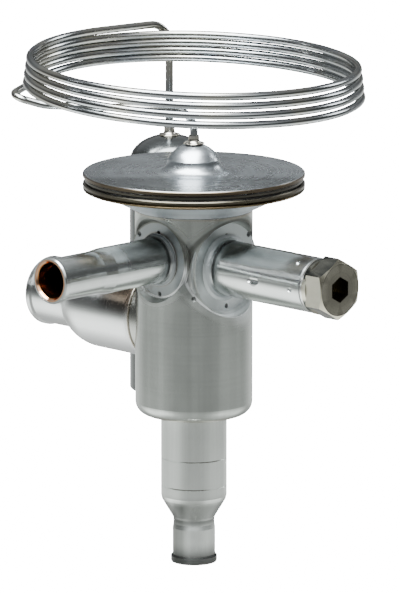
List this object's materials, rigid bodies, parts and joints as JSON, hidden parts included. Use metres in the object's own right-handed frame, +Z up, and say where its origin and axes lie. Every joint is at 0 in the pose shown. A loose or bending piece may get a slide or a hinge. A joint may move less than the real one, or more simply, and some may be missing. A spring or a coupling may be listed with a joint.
{
  "type": "thermostatic expansion valve",
  "caption": "Refrigeration expansion valve with a diaphragm element, coiled capillary tube and sensing bulb, solder sockets and a hexagon sealing cap.",
  "frame": {"origin": "centre of the inlet socket mouth at the bottom of the valve", "axes": "+Z up the valve axis from the inlet to the diaphragm element, +X out along the adjusting stem and its cap, -X out of the outlet socket, -Y out of the equalizer socket"},
  "size_m": [0.111, 0.1002, 0.1412],
  "materials": {
    "shell_steel": "satin, drawn",
    "tube_steel": "satin, drawn, with heat tint at the joins",
    "cover_steel": "satin, turned, with a brown heat tint at the rim",
    "ring_steel": "dull",
    "capillary_steel": "bright drawn",
    "bulb_steel": "bright",
    "cap_nickel": "warm nickel plate",
    "copper_lining": "bright copper",
    "gasket_metal": "bright",
    "machined_brass": "machined",
    "hard_steel": "ground",
    "spring_steel": "bright",
    "strainer_mesh": "woven mesh",
    "seal_rubber": "moulded"
  },
  "bodies": {
    "valve": {"bulb_ferrule": "capillary_steel", "cap_gasket": "gasket_metal", "capillary_tube": "capillary_steel", "clamp_ring": "ring_steel", "diaphragm": "spring_steel", "element_ferrule": "capillary_steel", "equalizer_connector": "tube_steel", "equalizer_liner": "copper_lining", "gland_bush": "machined_brass", "guide_block": "machined_brass", "inlet_connector": "tube_steel", "inlet_liner": "copper_lining", "inlet_strainer": "strainer_mesh", "lower_cover": "cover_steel", "orifice_ring": "hard_steel", "outlet_connector": "tube_steel", "outlet_liner": "copper_lining", "retaining_clip": "spring_steel", "rod_seal": "seal_rubber", "rod_seal_cup": "spring_steel", "seat_block": "machined_brass", "sensing_bulb": "bulb_steel", "stem_housing": "tube_steel", "stem_seal_ring": "seal_rubber", "strainer_ring": "spring_steel", "superheat_spring": "spring_steel", "upper_cover": "cover_steel", "valve_body": "shell_steel"},
    "cap": {"sealing_cap": "cap_nickel"},
    "stem": {"adjusting_stem": "machined_brass"},
    "crown": {"crown_gear": "machined_brass"},
    "carrier": {"spring_carrier": "machined_brass"},
    "rod": {"thrust_pad": "hard_steel", "push_rod": "hard_steel", "valve_cone": "hard_steel"}
  },
  "joints": [
    {"name": "cap_off", "type": "slide", "parent": "valve", "child": "cap", "axis": [1, 0, 0], "range_m": [0, 0.02]},
    {"name": "stem_turn", "type": "hinge", "parent": "valve", "child": "stem", "pos_m": [0.03, 0, 0.0831], "axis": [1, 0, 0], "range_deg": [-1081, 1081]},
    {"name": "crown_turn", "type": "hinge", "parent": "valve", "child": "crown", "pos_m": [0, 0, 0.09], "axis": [0, 0, 1], "range_deg": [-541, 541]},
    {"name": "carrier_lift", "type": "slide", "parent": "valve", "child": "carrier", "axis": [0, 0, 1], "range_m": [-0.0012, 0.0012], "deforming": ["superheat_spring"]},
    {"name": "valve_lift", "type": "slide", "parent": "valve", "child": "rod", "axis": [0, 0, -1], "range_m": [0, 0.0008], "stiffness_N_per_m": 5000, "springref_m": -0.002, "deforming": ["superheat_spring"]}
  ],
  "couplings": [
    {"joint": "crown_turn", "follows": "carrier_lift", "rad_per_m": 7854},
    {"joint": "stem_turn", "follows": "carrier_lift", "rad_per_m": -15708}
  ]
}
